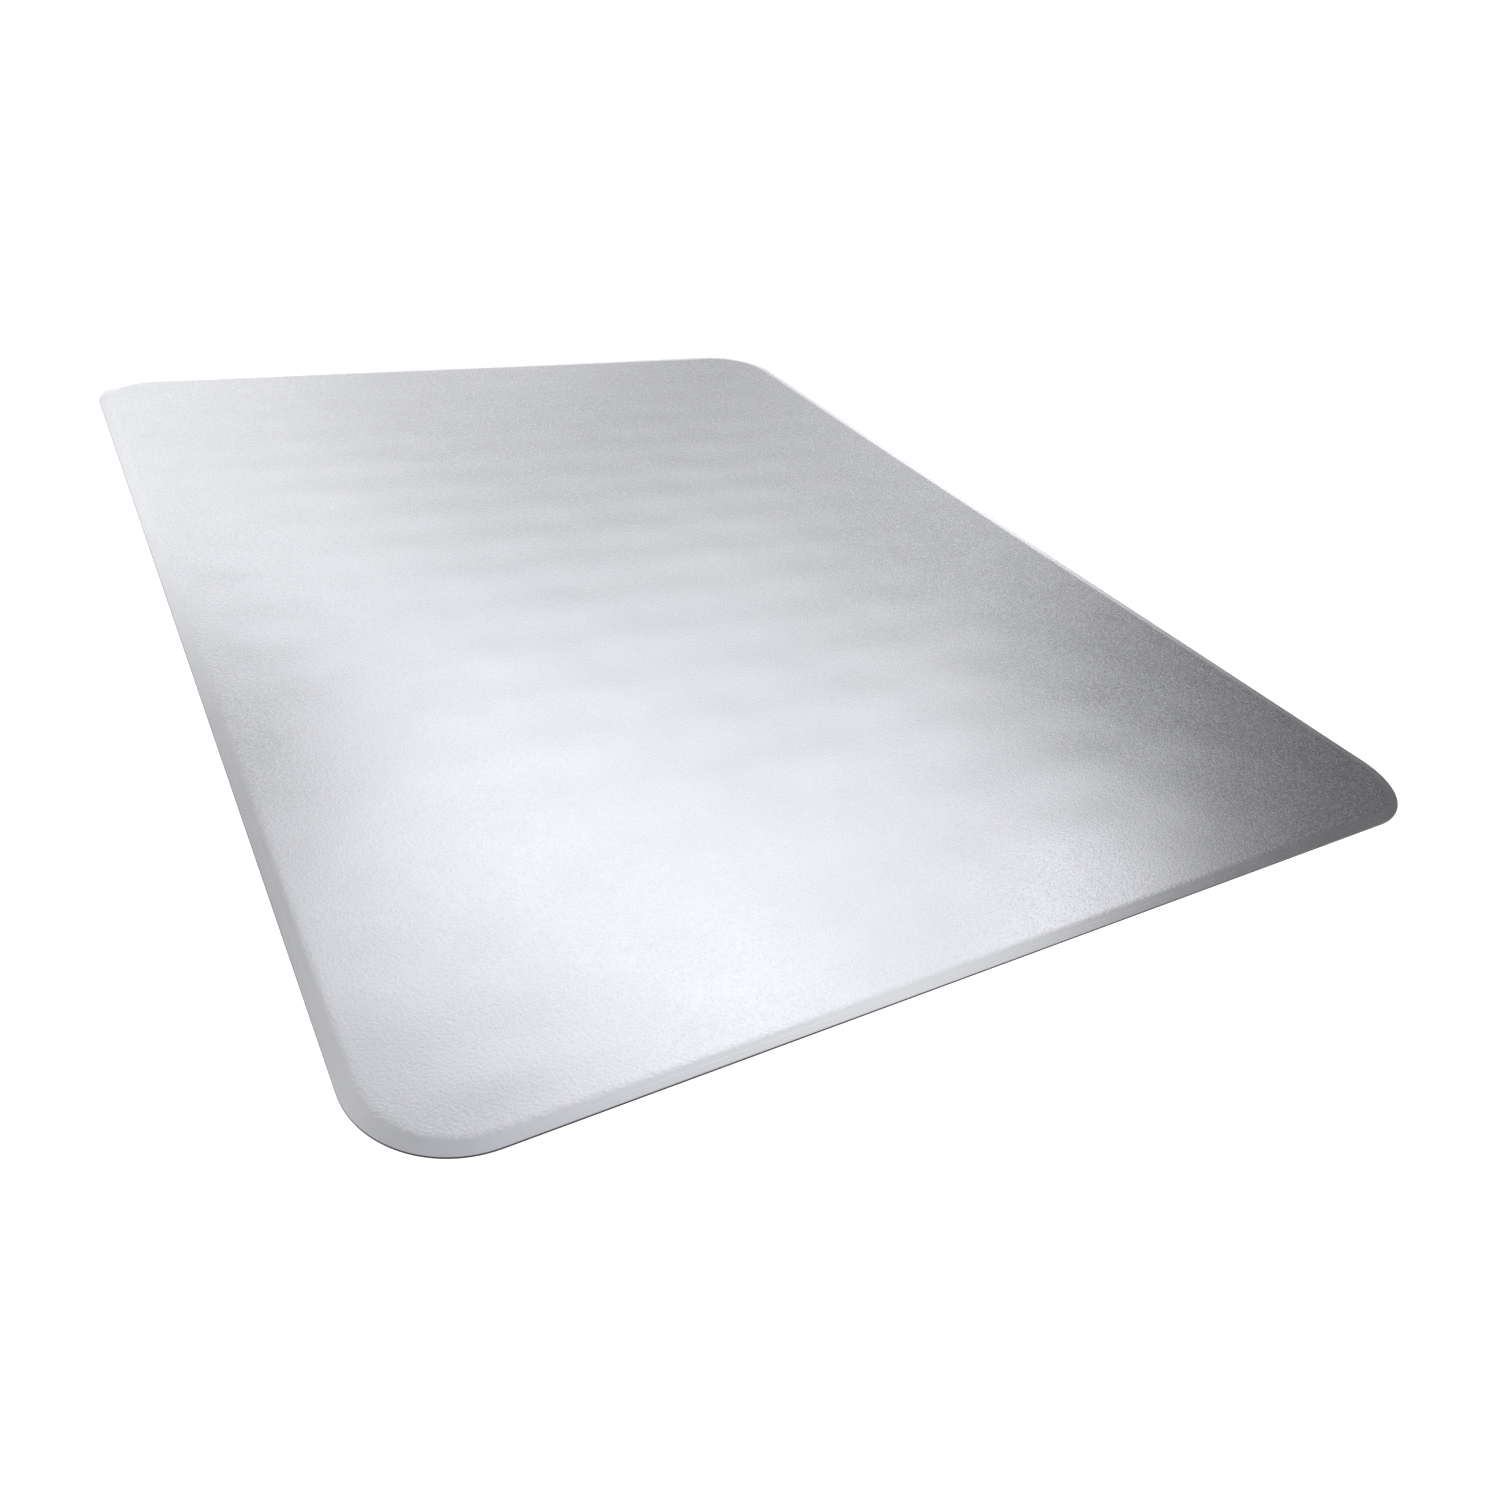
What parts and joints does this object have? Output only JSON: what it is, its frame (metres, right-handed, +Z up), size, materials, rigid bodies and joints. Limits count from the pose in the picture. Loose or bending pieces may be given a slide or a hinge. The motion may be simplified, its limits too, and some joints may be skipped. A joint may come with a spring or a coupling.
{
  "type": "chair mat",
  "caption": "Rectangular clear vinyl chair mat for hard floors, with rounded corners, a finely embossed top, a smooth bevelled border all round and a grip film on its flat underside.",
  "frame": {"origin": "centre of the underside, on the floor", "axes": "+Z up through the mat's thickness, +Y along the long side, +X along the short side"},
  "size_m": [0.9144, 1.2192, 0.0025],
  "materials": {
    "wear_layer": "satin",
    "core": "gloss",
    "grip_film": "matte"
  },
  "bodies": {
    "mat": {"textured_wear_layer": "wear_layer", "clear_core_sheet": "core", "grip_backing_film": "grip_film"}
  },
  "joints": []
}
